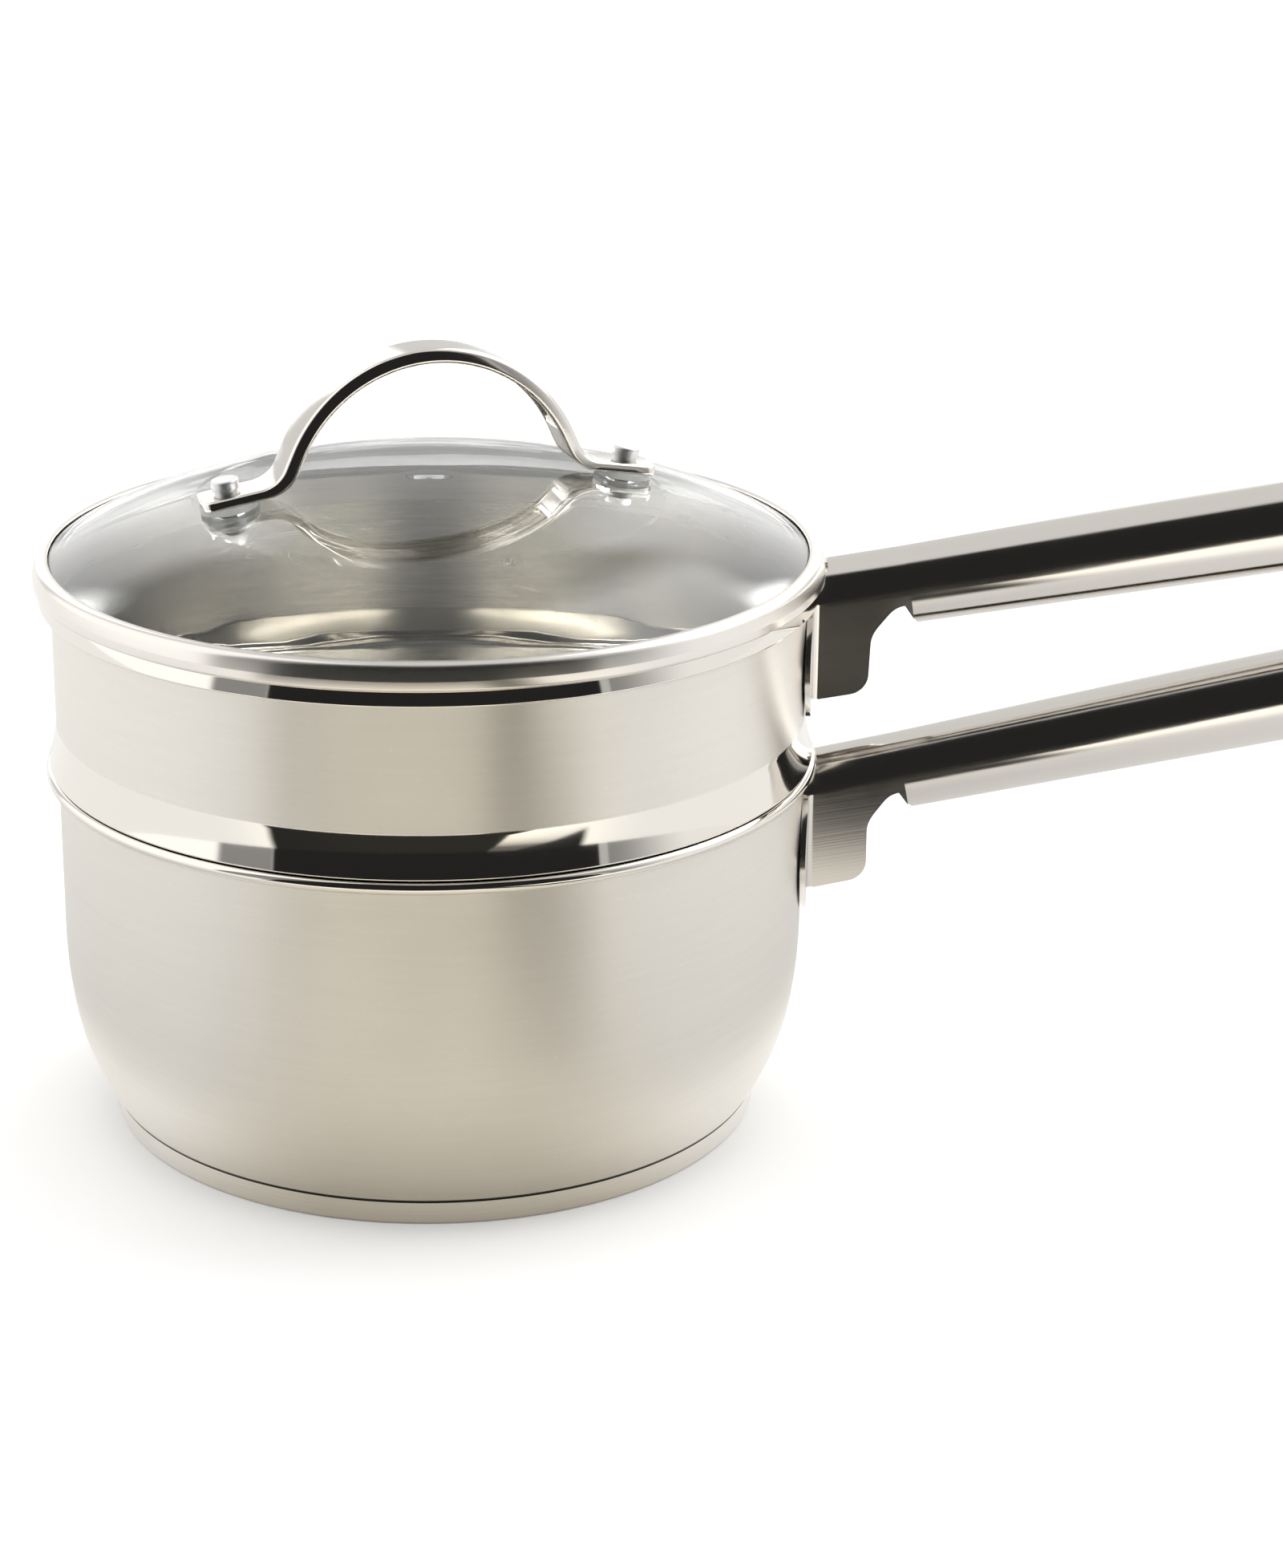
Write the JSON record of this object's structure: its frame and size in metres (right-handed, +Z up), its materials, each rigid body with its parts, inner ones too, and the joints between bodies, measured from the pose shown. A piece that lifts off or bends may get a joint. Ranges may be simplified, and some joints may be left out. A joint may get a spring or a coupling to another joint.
{
  "type": "double boiler",
  "caption": "Stainless steel double boiler: a saucepan, an insert that sits on its rim and a domed glass lid, with long tubular side handles and an arched lid handle.",
  "frame": {"origin": "on the pot's axis at the underside of the base, where it rests on the hob", "axes": "+X from the pot's axis along both long handles, +Z up along the pot's axis, +Y to complete a right-handed frame"},
  "size_m": [0.3523, 0.1842, 0.1846],
  "materials": {
    "satin_steel": "satin brushed round the pot",
    "base_steel": "satin turned",
    "polished_steel": "mirror polished stainless steel",
    "base_aluminium": "plain",
    "lid_glass": "clear tempered",
    "rivet_aluminium": "satin",
    "lid_seal": "matte grey silicone"
  },
  "bodies": {
    "saucepan": {"saucepan_body": "satin_steel", "base_core": "base_aluminium", "base_capsule": "base_steel", "saucepan_handle": "polished_steel"},
    "insert": {"insert_body": "satin_steel", "insert_handle": "polished_steel"},
    "lid": {"lid_glass": "lid_glass", "lid_band": "polished_steel", "lid_handle": "polished_steel", "lid_rivet_pin_left": "rivet_aluminium", "lid_rivet_cap_left": "rivet_aluminium", "lid_upper_washer_left": "lid_seal", "lid_lower_washer_left": "lid_seal", "lid_backing_washer_left": "polished_steel", "lid_rivet_pin_right": "rivet_aluminium", "lid_rivet_cap_right": "rivet_aluminium", "lid_upper_washer_right": "lid_seal", "lid_lower_washer_right": "lid_seal", "lid_backing_washer_right": "polished_steel"}
  },
  "joints": [
    {"name": "insert_lift", "type": "slide", "parent": "saucepan", "child": "insert", "axis": [0, 0, 1], "range_m": [0, 0.06]},
    {"name": "lid_lift", "type": "slide", "parent": "insert", "child": "lid", "axis": [0, 0, 1], "range_m": [0, 0.05]}
  ]
}
